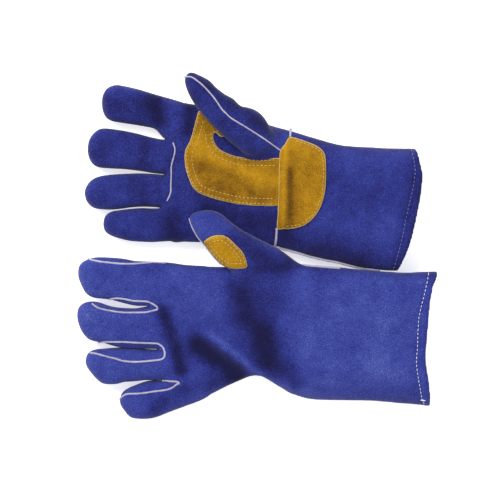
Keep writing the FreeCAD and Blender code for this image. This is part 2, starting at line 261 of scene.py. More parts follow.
RIGHT = {
    "hand": [(60, 10), (60, 98), (32.3, 118.6), (9.8, 124), (-7.8, 129.8), (-27.4, 137.7), (-45.1, 143.1),
        (-62.7, 144.6), (-78.4, 146.5), (-86.2, 140.6), (-90.2, 126.9), (-90.6, 110), (-91.1, 93.6),
        (-91.1, 75.5), (-93.1, 60.3), (-96, 42.8), (-90.2, 26), (-85.3, 10.1), (-71.5, 9.5), (-57.8, 9),
        (-37.2, 8.3), (-12.7, 6.4), (7.8, 5), (24.5, 2.5)],
    "cuffoutline": [(-12, 60), (-10, 118), (9.8, 124), (32.3, 119.1), (51.9, 113.2), (80.4, 105.3),
        (106.8, 102.9), (135.2, 101.4), (165, 101), (215, 100), (215, -30), (165, -22.5), (139.2, -19.6),
        (119.6, -18.6), (99, -16.2), (77.4, -11.3), (51.9, -5.4), (24.5, 2), (7.8, 5), (-10, 12)],
    "index": [(-42.1, 144.6), (-62.7, 143.6), (-81.3, 149), (-100, 154.3), (-117.6, 159.6), (-131.3, 162.7),
        (-140.1, 163.8), (-148, 160.7), (-152.4, 154.3), (-153.6, 146.5), (-152.7, 138.7), (-149.9, 132.3),
        (-144.1, 128.4), (-130.3, 125.9), (-115.6, 123.6), (-101.9, 120.6), (-95.5, 114.2), (-90.2, 109.8),
        (-76.4, 104.4), (-42.1, 104.4)],
    "middle": [(-51.9, 118.1), (-76.4, 115.6), (-90.6, 110.2), (-105.8, 112.6), (-119.1, 116.1),
        (-135.2, 119.3), (-151.9, 121.2), (-159.7, 118.1), (-165.6, 110.7), (-167.6, 101.4), (-166.4, 92.6),
        (-162.7, 86.2), (-156.8, 82.8), (-145, 81.6), (-131.3, 80.9), (-115.6, 79.1), (-101.9, 76.9),
        (-88.2, 75.8), (-71.5, 76), (-51.9, 76.9)],
    "ring": [(-51.9, 76), (-71.5, 76), (-88.2, 75.4), (-101.9, 76.3), (-115.6, 76.9), (-130.3, 76.5),
        (-145, 75.6), (-156.8, 73.7), (-164.6, 69.6), (-169.2, 63.2), (-170.5, 57.3), (-169, 50.5),
        (-165.6, 45.6), (-160.7, 42.6), (-153.9, 41.4), (-144.1, 41.1), (-133.3, 42.1), (-125.4, 43.3),
        (-113.7, 44), (-101.9, 43.6), (-86.2, 42.1), (-71.5, 41.2), (-51.9, 40.7)],
    "little": [(-51.9, 43.6), (-76.4, 43.1), (-101.9, 42.4), (-113.7, 42.8), (-125.4, 42), (-135.2, 40.8),
        (-144.1, 39.3), (-149.9, 35.3), (-152.1, 28.4), (-151.2, 21.6), (-148, 17.5), (-142.1, 14.7),
        (-134.3, 12.2), (-125.4, 10.3), (-114.7, 9.5), (-103.9, 9.1), (-94.1, 9.7), (-85.3, 10.1),
        (-71.5, 9.5), (-60, 9.8), (-50, 17)],
    "thumb": [(-65.7, 174.4), (-56.8, 171.5), (-47, 166.1), (-40.7, 159.6), (-31.8, 152.8), (-24.5, 149),
        (-19.1, 143.6), (-15.7, 141.3), (-9.8, 140.3), (-3.9, 138.4), (2, 134.8), (7.3, 128.9), (10.3, 123),
        (14.7, 113.2), (17.6, 102.4), (9.8, 93.6), (-5.9, 93.6), (-19.6, 100.5), (-33.8, 112.2),
        (-47.5, 125.4), (-57.8, 137.7), (-64.2, 147), (-68.6, 155.8), (-71.1, 163.7), (-70.8, 170)],
    "gunn": [(-83.3, 106.8), (-81.3, 100.5), (-82, 94.6), (-84.8, 83.8), (-85, 75), (-85.3, 66.2),
        (-85.7, 57.3), (-89.2, 49.5)],
    "thumbwelt": [(-71.7, 169.8), (-66.6, 169.4), (-62.7, 168.1), (-53.9, 161.2), (-45.1, 151.9),
        (-40.2, 145.5), (-35.3, 138.2), (-30.4, 133.2), (-25.5, 128.9), (-10.8, 120), (2.9, 111.6),
        (16.7, 102.4), (22.5, 98.5)],
    "palmpatch": [(-57.8, 137.7), (-60.3, 130.8), (-63.7, 118.1), (-66.6, 108.3), (-70.1, 101.9),
        (-71.7, 96.5), (-71.9, 89.7), (-70.8, 80.8), (-68.1, 72), (-64.7, 64.2), (-59.3, 58.1), (-49, 53.4),
        (-35.3, 49.5), (-21.6, 46.5), (-7.8, 45), (5.9, 44.4), (21.6, 44.6), (29, 46), (30, 68), (29, 90),
        (21.6, 91.5), (5.9, 91.4), (-7.8, 91.6), (-21.6, 93.3), (-32.3, 97.3), (-38.2, 100.9), (-41.6, 105.3),
        (-43.6, 110.7), (-43.1, 116.1), (-40.7, 115.6), (-37.2, 112.4), (-32.8, 111.7), (-35.3, 117.1),
        (-43.1, 125), (-51, 134.8)],
    "wristseam": [(32.3, 121), (31.8, 116.1), (31.4, 112.2)],
    "wristseam2": [(18.4, 23), (17.8, 13.2), (16.7, 4.4)],
    "dpatch": [(31.8, 112.2), (26.5, 105.3), (21.6, 98.5), (20.4, 84.8), (19.8, 60.3), (19.2, 38.7),
        (18.6, 22.4), (24.5, 21.9), (32.3, 22.1), (43.1, 24.5), (51.9, 30.4), (58.3, 38.2), (62.7, 47.5),
        (65.7, 60.3), (66.6, 77.9), (65.7, 93.6), (63.2, 98.5), (58.3, 102.9), (49, 107.1)],
    "mouth": [(156.4, 109.3), (157.1, 100.9), (158.2, 95.5), (159, 86.7), (160.6, 77.9), (160.7, 70.1),
        (159.2, 55.4), (155.4, 35.3), (149.9, 11.3), (144.1, -6.4), (139.2, -20.1), (136.2, -29.9)],
    "hemstitch": [(149.9, 100), (152.9, 81.3), (152.3, 72), (150.9, 62.2), (145, 36.8), (139.2, 8.3),
        (132.3, -18.1)],
    "sideseam": [(7.8, 5.2), (16.7, 4.6), (24.5, 2.5), (38.2, -1.1), (51.9, -5.1), (65.7, -8.3),
        (77.4, -10.5), (90.2, -13.8), (101.9, -16.4), (119.6, -18.3)],
}
LEFT = {
    "hand": [(62, -120), (62, -30), (41.2, -12.2), (16.7, -12.8), (-11.8, -12.8), (-32.3, -12.8),
        (-50, -12.5), (-70.6, -11.4), (-87.2, -9.9), (-99, -10.6), (-105.8, -31.2), (-107.8, -48.9),
        (-102.9, -70.6), (-98, -94.2), (-96, -109.9), (-91.1, -125.7), (-84.3, -139.4), (-77, -144.2),
        (-68, -146.6), (-58.3, -145.3), (-47, -140), (-31.4, -132.1), (-17.6, -125.9), (-5.9, -121.5),
        (4.9, -122.2), (21.6, -132.6), (40, -139.5)],
    "cuffoutline": [(-27.4, -60), (-26, -26), (-14, -14.5), (0, -12.8), (16.7, -12.8), (32.3, -11.6),
        (66.6, -12), (100.5, -15.2), (140.1, -18), (164.6, -17.1), (185, -16.5), (225, -16), (225, -150),
        (185, -150.2), (167.6, -149.8), (152.9, -148.3), (138.2, -147.3), (113.7, -145.3), (85.3, -144.9),
        (55.9, -144.4), (41.2, -141.7), (31.4, -137.5), (21.6, -132.6), (4.9, -122.5), (-6, -119),
        (-20, -100)],
    "index": [(-40, -20), (-50, -13.4), (-58.3, -12.3), (-70.5, -11.5), (-82.6, -9.7), (-94.9, -8.6),
        (-107, -8.2), (-120.8, -7.6), (-127.4, -6.2), (-135.4, -5), (-143.6, -4.4), (-152.6, -4),
        (-159.7, -4.3), (-166.8, -6.2), (-172.1, -9), (-175.3, -13.1), (-176.2, -18.8), (-175.8, -23.8),
        (-174.4, -28.1), (-172.1, -33.5), (-168.8, -39.2), (-164.7, -42.4), (-159.8, -44.1), (-151.7, -44.9),
        (-144.1, -45.8), (-135.4, -48.1), (-125.7, -50.6), (-117.6, -51.9), (-110.2, -51.9), (-100.9, -52.9),
        (-76.4, -54.8), (-42.1, -54.8)],
    "middle": [(-42.1, -51.9), (-86.2, -52.4), (-105.8, -52.5), (-112.7, -53.1), (-119.3, -54.3),
        (-127.4, -54.2), (-133.9, -53.8), (-141.1, -53), (-147.7, -51.3), (-154.2, -48.9), (-160.7, -47.6),
        (-167.2, -47.9), (-171.2, -49.4), (-174.4, -51.7), (-176.4, -54.8), (-177.3, -59.8), (-176.9, -66.1),
        (-174.9, -72.6), (-172.1, -78.3), (-168, -83.3), (-163.1, -86.1), (-156.6, -87.4), (-151.7, -88.2),
        (-145.2, -90.4), (-138.8, -92.1), (-133.3, -93.1), (-120.5, -93.8), (-98, -94.5), (-76.4, -95.2),
        (-42.1, -95.2)],
    "ring": [(-42.1, -95.2), (-76.4, -95.2), (-98, -95.1), (-115.6, -94.2), (-125.4, -93.6), (-135.4, -93.1),
        (-145.2, -93.6), (-151.9, -94.2), (-157.4, -94.7), (-161.5, -95.5), (-165.4, -97.3), (-168, -100.5),
        (-169.5, -106.5), (-168, -112.2), (-164, -117.9), (-159.1, -123.6), (-154.2, -127.7),
        (-149.3, -129.2), (-143.6, -129.4), (-137.9, -128.9), (-131.4, -127.1), (-123.3, -126.5),
        (-116.8, -125.9), (-111.1, -125.2), (-103.9, -125.3), (-91.1, -125.2), (-79.4, -125.2),
        (-61.7, -125.7), (-42.1, -125.7)],
    "little": [(-42.1, -127.6), (-61.7, -126.6), (-79.4, -125.7), (-91.1, -125.6), (-103.4, -125.6),
        (-108.7, -126.3), (-114.4, -127.8), (-119.3, -129.8), (-125.7, -132.3), (-130.6, -135.1),
        (-133.9, -138.4), (-135.4, -142.4), (-135.9, -146.5), (-134.7, -150.6), (-131.4, -155.5),
        (-127.4, -160.4), (-123.3, -162.8), (-115.1, -163.6), (-107, -163.4), (-98.9, -161.6),
        (-90.7, -158.3), (-82.6, -155.1), (-70.5, -150.6), (-58.3, -146), (-48, -140.8), (-40, -133)],
    "welt_index": [(-166.1, -5.5), (-159.8, -6.6), (-151.7, -7.9), (-143.6, -8.7), (-133.9, -9.6),
        (-122.5, -9.8), (-111.1, -9.2), (-100.9, -8.8), (-90.2, -9.4)],
    "welt_im": [(-146, -45), (-138.8, -43.6), (-131.4, -44.1), (-122.5, -45.8), (-114.4, -46.2),
        (-107.8, -46.7), (-102.9, -48.9), (-99, -51.5), (-98.1, -53.9), (-101.3, -55.3), (-107, -56.7),
        (-112.7, -57.4), (-125.7, -57.6), (-135.4, -57.2), (-143.6, -55.9), (-150.1, -54.7), (-156.6, -52.7),
        (-162.3, -49.1)],
    "welt_mr": [(-156.6, -87.7), (-147.7, -86.5), (-133.9, -86.3), (-120.8, -86.9), (-109.8, -87.3),
        (-99.8, -87.7), (-96.4, -88.8), (-93.2, -91.4), (-91.6, -95.1), (-91.2, -99.1), (-92.4, -102.1),
        (-95.6, -103.6), (-103, -104.5), (-115.1, -105.5), (-124.1, -105.7), (-132.2, -104.9),
        (-138.8, -102.8), (-146, -101.2), (-153.4, -99.3), (-159.8, -97.9), (-164.7, -97.7)],
    "welt_rl": [(-135.4, -144.4), (-134.7, -142.2), (-131.4, -139.4), (-127.4, -137.7), (-119.3, -137.3),
        (-111.1, -136.5), (-103, -135.2), (-94.9, -134.2), (-87.5, -132.9), (-82.6, -130.6), (-79.4, -127.7),
        (-76.9, -126.8), (-78.9, -125.3), (-86.2, -125.1), (-94.1, -125.2)],
    "mouth": [(178.2, -10.6), (177.9, -16.5), (177, -19.4), (174.4, -25.3), (171.4, -30.2), (168.9, -39.1),
        (167.3, -47.9), (166.2, -62.7), (164.7, -82.4), (163.6, -97.1), (164.6, -109.9), (166.6, -121.7),
        (169.5, -139.4), (170.9, -147.3), (171.5, -156.2)],
    "hemstitch": [(166.1, -17.9), (164.2, -26.3), (161.7, -36.1), (156.8, -55.8), (155.4, -70.6),
        (154.8, -89.3), (153.9, -105), (155.8, -119.8), (159.7, -139.4), (163.2, -148.3)],
    "thumb": [(-66.6, 35.7), (-63.7, 39.6), (-56.8, 42.3), (-46.1, 43.2), (-36.3, 39.6), (-28.4, 33.1),
        (-16.7, 24.3), (0, 15), (9.8, 10.1), (23.5, 2.2), (32.3, -7.6), (37.2, -21.4), (31.4, -38.1),
        (13.7, -46), (-2.9, -38.1), (-17.6, -25.3), (-29.4, -14.5), (-36.3, -10.1), (-42.1, -4.2), (-48, 3.2),
        (-53.4, 10.5), (-58.8, 17), (-63.7, 25.8)],
    "thumbwelt": [(-66.6, 35.2), (-65.7, 31.2), (-63.7, 26.1), (-58.8, 17.2), (-53.4, 10.8), (-48, 3.8),
        (-42.1, -3.9), (-36.3, -9.6)],
    "thumbpatch": [(-53.4, 10.6), (-52.4, 13.4), (-49.5, 16), (-46.1, 18), (-41.2, 19.5), (-36.3, 19.9),
        (-31.8, 18.6), (-27.4, 15.6), (-20.6, 9.1), (-15.2, 3.2), (-12.2, -2.7), (-10.6, -8.6), (-11, -12.5),
        (-19.6, -14), (-31, -13), (-36.3, -9.6), (-42.1, -3.9), (-48, 3.6)],
    "sideseam": [(19.6, -12.2), (32.3, -10.8), (50, -11.8), (80.4, -14)],
}
FINGERS = ("index", "middle", "ring", "little")
WALL = 3.0
LINING = 2.0
BEND = 14.0  # half the length of the bend line at a finger or thumb; its start is where that piece is split off
WRIST_BEND = 18.0
JOINTS = {j["name"]: j for j in frame["joints"]}
TILT = math.radians(5)
TILT_Y = -155.0
DROP = {"right": 0.5, "left": 1.0}
RIGHT_WRIST = (37.0, 60.25)  # the hinge of the right wrist in these axes
SHIFT = np.array(JOINTS["right_wrist_bend"]["pos_m"])[:2] * 1000 - RIGHT_WRIST  # these axes to the frame's
FOLDS = ((0.55, 26, 3), (0.34, 11, 4), (0.14, 5, 5))  # height, size and seed of the random folds on top
UNDER_FOLDS = ((0.5, 22, 13), (0.3, 9, 14))
MOTTLING = ((0.03, 30, 21), (0.03, 9, 22))
CAVITY_END = {"right": -55, "left": -50}  # where the hollow of the hand ends
ROOT_BLEND = 9.0  # how softly the thumb's root runs into the hand
ROOT_REACH = 16.0
FINGER_OVERLAP = 22  # how deep inside the hand a finger's own mesh starts
HEM_ROUND = 5.0
RIM_ROUND = 2.4  # where the hem turns into the mouth
HEM_REACH = 0.8  # how far the hem reaches past the mouth's line
LINING_BACK = 9.0  # how far the lining ends inside the mouth
THUMB_POWER = 2.3  # squareness of the thumb's sections
FOLD_FADE = 9.0  # the folds fade out this near the outline
FLATTER = 0.96  # the top's share of the underside's height
FOLD_PAINTED_SHADE = 0.04  # painted shade and highlight: how much lighter each millimetre of a fold is painted
HEM_BAND = 6.0  # width of the darker hem
# how much darker the painted shade low on the sides is, and the band at the hem
DARKER = 0.1
FINGER_MARGIN = 4.0  # a place this near a finger's outline still goes to that finger's piece
THUMB_SIDE = 45.0
PATCH_STEP = 1.0
PATCH_RIM = 1.3  # how far in a patch's edge is rounded
PATCH_SUNK = 0.9  # how far a patch's back lies inside the leather
WELT_LIFT = 0.1
FINE = 0.3  # spacing of the places that a stitch is drawn from


def laid(side):
    """Turns level glove coordinates into the frame's, pressed flat where the glove lies on something."""
    def place(p):
        p = np.array(p, float)
        if side == "left":
            y, z = p[:, 1] - TILT_Y, p[:, 2].copy()
            p[:, 1] = TILT_Y + y * math.cos(TILT) - z * math.sin(TILT)
            p[:, 2] = y * math.sin(TILT) + z * math.cos(TILT)
        p[:, 2] = np.maximum(p[:, 2] - DROP[side], 0.0)
        p[:, :2] += SHIFT
        return p
    return place


def level(side, p):
    """The other way, for one point."""
    x, y, z = p[0] - SHIFT[0], p[1] - SHIFT[1], p[2] + DROP[side]
    if side == "left":
        y -= TILT_Y
        y, z = y * math.cos(TILT) + z * math.sin(TILT), z * math.cos(TILT) - y * math.sin(TILT)
        y += TILT_Y
    return np.array([x, y, z])


def bend_line(side, joint, half):
    """(start, end) in the frame in metres, and (start, forward) in level millimetres seen from above."""
    j = JOINTS[f"{side}_{joint}"]
    pos, axis = Vector(j["pos_m"]), Vector(j["axis"])
    low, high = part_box(frame["record"]["behaviour"]["bodies"][j["child"]][0])
    to_child = (Vector(low) + Vector(high)) / 2 - pos
    forward = axis.cross(Vector((0, 0, 1))) if "thumb" not in joint else Vector((to_child.x, to_child.y, 0))
    forward *= 1 if forward.dot(to_child) > 0 else -1
    forward.normalize()
    start, end = pos - forward * half / 1000, pos + forward * half / 1000
    a, b = level(side, start * 1000), level(side, end * 1000)
    direction = (b - a)[:2]
    return start, end, a[:2], direction / np.linalg.norm(direction)


def past(cut, x, y):
    """How far places lie past the start of a bend."""
    start, direction = cut[2:]
    return (x - start[0]) * direction[0] + (y - start[1]) * direction[1]


def oval(q, w, h, p):
    """The field of a squared oval section, from its shares across and its height."""
    return ((q**p + np.abs(w / h) ** p) ** (1 / p) - 1) * h


class Glove:
    """One glove lying level, from maps over its plan. marks are (line, height, half width) of folds, and the
    painted shade list the same of places painted darker where shade falls or lighter where light falls,
    with some broad changes of tone. heights, edges and powers are (x, value) along the glove."""

    def __init__(self, side, lines, low, high, heights, edges, powers, marks, painted_shade_and_tone_marks, thumb):
        self.side, self.lines, self.place = side, lines, laid(side)
        self.thumb_path = thumb
        g = self.grid = Grid(low, high, STEP)
        X, Y = g.X, g.Y
        self.hand = np.maximum(depth(lines["hand"], X, Y), depth(lines["cuffoutline"], X, Y))
        self.fingers = {f: depth(lines[f], X, Y) for f in FINGERS}
        self.whole = np.maximum.reduce([self.hand, *self.fingers.values()])
        self.mid = np.interp(X, *zip(*heights))
        self.round = np.interp(X, *zip(*edges))
        self.power = np.interp(X, *zip(*powers))
        relief = strokes(g, marks) + lumps(g, FOLDS)
        inward = smooth_step(self.whole / FOLD_FADE)
        self.top = self.mid * FLATTER + relief * inward
        self.bottom = self.mid + lumps(g, UNDER_FOLDS) * inward
        self.trim = {}
        # painted shade and highlights: folds painted lighter where they rise and darker where they sink, the
        # listed painted shade, some broad tone changes and random mottling
        self.painted_shade_and_tone_map = 0.5 + FOLD_PAINTED_SHADE * strokes(g, marks) + strokes(g, painted_shade_and_tone_marks) + lumps(g, MOTTLING)
        mouth = curve(lines["mouth"])
        order = np.argsort(mouth[:, 1])
        self.mouth = lambda y: np.interp(y, mouth[order, 1], mouth[order, 0])
        self.cuts = {f: bend_line(side, f"{f}_flex", BEND) for f in FINGERS}
        self.thumb_cut = bend_line(side, "thumb_swing", BEND)
        self.wrist_cut = bend_line(side, "wrist_bend", WRIST_BEND)

    # ---- shape

    def solid(self, depths, inset=0.0, part=(slice(None), slice(None))):
        """The field of the soft solid over an outline's depths, with its skin moved in by inset."""
        z = self.grid.z[None, None, :]
        p = self.power[part][..., None]
        q = np.clip(1 - (depths[part] - inset) / (self.round[part] - inset), 0, 3)[..., None]
        w = z - self.mid[part][..., None]
        h = np.where(w > 0, self.top[part][..., None], self.bottom[part][..., None]) - inset
        return oval(q, w, h, p)

    def surface_z(self, x, y, up):
        """The level height of the skin over any places."""
        g = self.grid
        d = g.at(self.whole, x, y)
        q = np.clip(1 - d / g.at(self.round, x, y), 0, 1)
        p = g.at(self.power, x, y)
        share = (1 - q**p) ** (1 / p)
        mid = g.at(self.mid, x, y)
        return mid + g.at(self.top, x, y) * share if up else mid - g.at(self.bottom, x, y) * share

    def thumb_field(self, z):
        """The thumb as its own soft tube, rising from the hand."""
        g = self.grid
        d = depth(self.lines["thumb"], g.X, g.Y)
        u = past(self.thumb_cut, g.X, g.Y)
        mid = np.interp(u, *zip(*self.thumb_path["mid"]))
        half = np.interp(u, *zip(*self.thumb_path["half"])) + strokes(g, self.thumb_path["marks"])
        half = half + 0.35 * g.noise(9, 8) * smooth_step(d / 6)
        self.thumb_depth, self.thumb_mid, self.thumb_half, self.thumb_along = d, mid, half, u
        q = np.clip(1 - d / self.thumb_path["round"], 0, 3)[..., None]
        return oval(q, z - mid[..., None], half[..., None], THUMB_POWER)

    def thumb_z(self, x, y, up):
        g = self.grid
        q = np.clip(1 - g.at(self.thumb_depth, x, y) / self.thumb_path["round"], 0, 1)
        rise = g.at(self.thumb_half, x, y) * (1 - q**THUMB_POWER) ** (1 / THUMB_POWER)
        return g.at(self.thumb_mid, x, y) + (rise if up else -rise)

    def skin(self, x, y, up, thumb):
        """The height of the outside at any places: the hand's, or the thumb's where there is thumb."""
        z = self.surface_z(x, y, up)
        if not thumb:
            return z
        beyond = self.past_thumb(x, y)
        on = (self.grid.at(self.thumb_depth, x, y) > -0.5) | beyond
        t = self.thumb_z(x, y, up)
        if up:
            z = np.where(beyond, z, np.maximum(z, self.grid.at(self.rooted_top, x, y)))
        return np.where(on, np.maximum(z, t) if up else t, z)

    # ---- which body a place belongs to

    def finger_at(self, x, y):
        """0 for the hand and cuff, or 1 to 4 for the finger whose piece the place goes to."""
        d = np.stack([self.grid.at(self.fingers[f], x, y) for f in FINGERS])
        k = d.argmax(axis=0)
        out = np.zeros(np.shape(x), int)
        for i, f in enumerate(FINGERS):
            out[(k == i) & (past(self.cuts[f], x, y) > 0) & (d[i] > -FINGER_MARGIN)] = i + 1
        return out

    def past_thumb(self, x, y):
        start, direction = self.thumb_cut[2:]
        v = (x - start[0]) * -direction[1] + (y - start[1]) * direction[0]
        return (past(self.thumb_cut, x, y) > 0) & (np.abs(v) < THUMB_SIDE)

    def looks(self, points, on_thumb=False):
        """The colour value at each point: the painted shade and tone map, with more painted shade low on the
        sides, and darker at the hem.
        """
        g, x, y = self.grid, points[:, 0], points[:, 1]
        painted_shade_and_tone = g.at(self.painted_shade_and_tone_map, x, y)
        maps = (self.thumb_mid, self.thumb_half) if on_thumb else (self.mid, self.top)
        mid, half = (g.at(m, x, y) for m in maps)
        # painted shade: low on the sides, turned away from the light, the leather is painted darker
        side = smooth_step((mid + 0.72 * half - points[:, 2]) / (0.5 * half))
        hem = smooth_step((x - self.mouth(y) + HEM_BAND) / HEM_BAND)
        return {"painted_shade_and_tone": painted_shade_and_tone - DARKER * side - DARKER * hem}

    # ---- pieces

    def build_leather(self, leather):
        g, side = self.grid, self.side
        z = g.z[None, None, :]
        body = self.solid(self.whole)
        thumb = self.thumb_field(z)
        k = ROOT_BLEND * smooth_step((-self.thumb_along - 1) / ROOT_REACH)[..., None] + 1e-6
        rooted = -rounded_max(-body, -thumb, k)
        hollow = np.maximum(self.solid(self.hand, WALL), CAVITY_END[side] - g.X[..., None])
        edge = (g.X - self.mouth(g.Y) - HEM_REACH)[..., None]
        hem = [rounded_max(rounded_max(f, edge, HEM_ROUND), -hollow, RIM_ROUND) for f in (body, rooted)]
        self.rooted_top = highest(rooted, g.z)
        pieces = []
        for field, thumb_side in ((hem[0], True), (hem[1], False)):
            points, faces = surface(field, g.low, g.step)
            x, y = middles(points, faces)
            keep = (self.finger_at(x, y) == 0) & (self.past_thumb(x, y) == thumb_side)
            pieces.append(trimmed(points, faces, keep))
        points, faces = joined_mesh(pieces)
        obj = make(f"{side}_gauntlet_leather", points, faces, leather, self.place, self.looks(points))
        self.finish(obj, "suede_blue", "cuff", "palm_panel", "back_panel", "cuff_front", "cuff_back")
        # thumb
        points, faces = surface(thumb, g.low, g.step)
        points, faces = trimmed(points, faces, self.past_thumb(*middles(points, faces)))
        self.build_digit("thumb", points, faces, leather, ("front", "back", "lining"))
        # fingers
        for number, f in enumerate(FINGERS, 1):
            reach = np.argwhere((self.fingers[f] > -4 * g.step) & (self.hand < FINGER_OVERLAP))
            (i0, j0), (i1, j1) = reach.min(axis=0), reach.max(axis=0) + 1
            part = (slice(max(i0 - 3, 0), i1 + 3), slice(max(j0 - 3, 0), j1 + 3))
            field = self.solid(np.maximum(self.hand, self.fingers[f]), part=part)
            start = g.low + g.step * np.array([part[0].start, part[1].start, 0])
            points, faces = surface(field, start, g.step)
            points, faces = trimmed(points, faces, self.finger_at(*middles(points, faces)) == number)
            self.build_digit(f, points, faces, leather, ("front", "back", "fourchettes", "lining"))

    def build_digit(self, body, points, faces, leather, nodes):
        """The leather of a finger or the thumb, in place of its CAD nodes."""
        looks = self.looks(points, body == "thumb")
        obj = make(f"{self.side}_{body}_leather", points, faces, leather, self.place, looks)
        self.finish(obj, "suede_blue", body, *[f"{body}_{node}" for node in nodes])

    def build_lining(self, cloth):
        g, side = self.grid, self.side
        outer = self.solid(self.hand, WALL + 0.1)
        inner = np.maximum(self.solid(self.hand, WALL + LINING), CAVITY_END[side] + 2.5 - g.X[..., None])
        edge = (g.X - self.mouth(g.Y) + LINING_BACK)[..., None]
        start = (CAVITY_END[side] - g.X - 0.5)[..., None] + 0.9
        edge, start = np.broadcast_to(edge, outer.shape), np.broadcast_to(start, outer.shape)
        field = np.maximum.reduce([edge, outer, -inner, start])
        points, faces = surface(field, g.low, g.step)
        obj = make(f"{side}_lining_cloth", points, faces, cloth, self.place)
        self.finish(obj, "lining", "cuff", "cuff_lining", "hand_lining")

    def patch(self, name, outline, material, thick, node, up=True, body="cuff", thumb=False):
        """A piece of leather sewn flat on the outside of the hand or cuff."""
        x, y = np.array(outline).T
        top = self.skin(x, y, up, thumb)
        low, high = (x.min() - 3, y.min() - 3, top.min() - 4), (x.max() + 3, y.max() + 3, top.max() + 6)
        g = Grid(low, high, PATCH_STEP)
        d = depth(outline, g.X, g.Y)
        skin = self.skin(g.X, g.Y, up, thumb)
        rim = np.sqrt(np.clip(1 - np.clip(1 - d / PATCH_RIM, 0, 1) ** 2, 0, 1))
        sign = 1 if up else -1
        out = skin + sign * thick * (0.35 + 0.65 * rim)
        back = skin - sign * PATCH_SUNK
        z = g.z[None, None, :]
        high, low = (out, back) if up else (back, out)
        field = np.maximum.reduce([
            np.broadcast_to(-d[..., None], d.shape + (len(g.z),)), z - high[..., None], low[..., None] - z,
        ])
        points, faces = surface(field, g.low, PATCH_STEP, relax=1)
        x, y = points.T[:2]
        edge = 1 - smooth_step((g.at(d, x, y) - 0.4) / 0.9)
        # the glove's map of painted shade and highlights with its mottling, for the patch's colour
        painted_shade_and_tone = self.grid.at(self.painted_shade_and_tone_map, x, y)
        obj = make(f"{self.side}_{name}", points, faces, material, self.place, {"edge": edge, "painted_shade_and_tone": painted_shade_and_tone})
        line = curve(outline, True)
        self.finish(obj, "suede_gold", body, node)

    def finish(self, obj, slot, body, *nodes):
        """Hides the CAD parts that a piece replaces, and bakes its transform into its mesh."""
        if nodes:
            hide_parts(*[f"{self.side}_{node}" for node in nodes])
        cuts = {"cuff": self.wrist_cut, "thumb": self.thumb_cut, **self.cuts}
        start, end = cuts[body][:2]
        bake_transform(obj)
        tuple(start)
        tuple(end)

    # ---- seams and stitches

    def split(self, line, thumb):
        """The runs of a line that belong to each body."""
        names = [FINGERS[n - 1] if n else "cuff" for n in self.finger_at(*line.T)]
        if thumb:
            names = ["thumb" if p else "cuff" for p in self.past_thumb(*line.T)]
        start = 0
        for k in range(1, len(line) + 1):
            if k == len(line) or names[k] != names[start]:
                if k - start > 1:
                    yield names[start], line[start : min(k + 1, len(line))]
                start = k

    def welt(self, line, width=1.5, height=1.7, thumb=False):
        """A narrow strip of leather caught in a seam."""
        for body, run in self.split(curve(line, step=1.5), thumb):
            z = self.skin(*run.T, True, thumb) + WELT_LIFT
            size = 1 + 0.12 * np.sin(np.arange(len(run)) * 1.7) * np.cos(np.arange(len(run)) * 0.6)
            mesh = strip(np.c_[run, z], width * size, height * size)
            self.trim.setdefault(("welts", body), []).append(mesh)

    def stitches(self, line, lift, thumb=False, pitch=3.9, long=2.7, thick=0.68, kind="threads"):
        """A row of thread stitches."""
        fine = curve(line, step=FINE)
        per = int(round(pitch / FINE))
        size = int(round(long / FINE))
        for start in range(0, len(fine) - size, per):
            run = fine[start : start + size + 1 : max(size // 4, 1)]
            z = self.skin(*run.T, True, thumb) + lift
            taper = np.sin(np.linspace(0.3, math.pi - 0.3, len(run))) ** 0.5
            for body, _ in self.split(run, thumb):
                body = "cuff" if body in FINGERS and not thumb else body
                mesh = strip(np.c_[run, z], thick * taper, thick * taper, 6)
                self.trim.setdefault((kind, body), []).append(mesh)
                break

    def finish_trim(self, materials):
        for (kind, body), parts in self.trim.items():
            points, faces = joined_mesh(parts)
            where = {"cuff": "hand"}.get(body, body)
            obj = make(f"{self.side}_{where}_{kind}_trim", points, faces, materials[kind], self.place)
            nodes = {"cuff": ["hand_welts"], "thumb": ["thumb_welt"]}.get(body, []) if kind == "welts" else []
            self.finish(obj, "welt", body, *nodes)


def highest(field, z):
    """The greatest height that is inside a solid at each place, or 0 where there is none."""
    inner = field < 0
    k = np.minimum(len(z) - 1 - np.argmax(inner[..., ::-1], axis=-1), len(z) - 2)[..., None]
    a, b = np.take_along_axis(field, k, -1)[..., 0], np.take_along_axis(field, k + 1, -1)[..., 0]
    share = np.clip(a / np.where(a == b, 1, a - b), 0, 1)
    return np.where(inner.any(axis=-1), z[k[..., 0]] + share * (z[1] - z[0]), 0)


def rounded_max(a, b, r):
    """The overlap of two solids, with the edge where they meet rounded."""
    near = np.clip(r - np.abs(a - b), 0, None) / r
    return np.maximum(a, b) + near**2 * r / 4


def unit(vectors):
    return vectors / (np.linalg.norm(vectors, axis=1)[:, None] + 1e-9)


def strip(points, width, height, sides=8):
    """A closed strip along points, with an oval section."""
    t = unit(np.gradient(points, axis=0))
    across = unit(np.cross(t, [0, 0, 1.0]))
    over = np.cross(across, t)
    a = 2 * math.pi * np.arange(sides) / sides
    width, height = (np.broadcast_to(v, len(points))[:, None, None] / 2 for v in (width, height))
    wide, high = np.cos(a)[:, None] * width, np.sin(a)[:, None] * height
    ring = points[:, None] + across[:, None] * wide + over[:, None] * high
    n = len(points)
    k = np.arange(n * sides).reshape(n, sides)
    b = np.roll(k, -1, axis=1)
    faces = [np.stack([k[:-1], k[1:], b[1:], b[:-1]], axis=-1).reshape(-1, 4)]
    caps = [(0, 1, 2, 3), (0, 3, 4, 7), (4, 5, 6, 7)] if sides == 8 else [(0, 1, 2, 3), (0, 3, 4, 5)]
    for row, turn in ((0, 1), (n - 1, -1)):
        faces.append(np.array([k[row][list(c)][::turn] for c in caps]))
    return ring.reshape(-1, 3), np.vstack(faces)


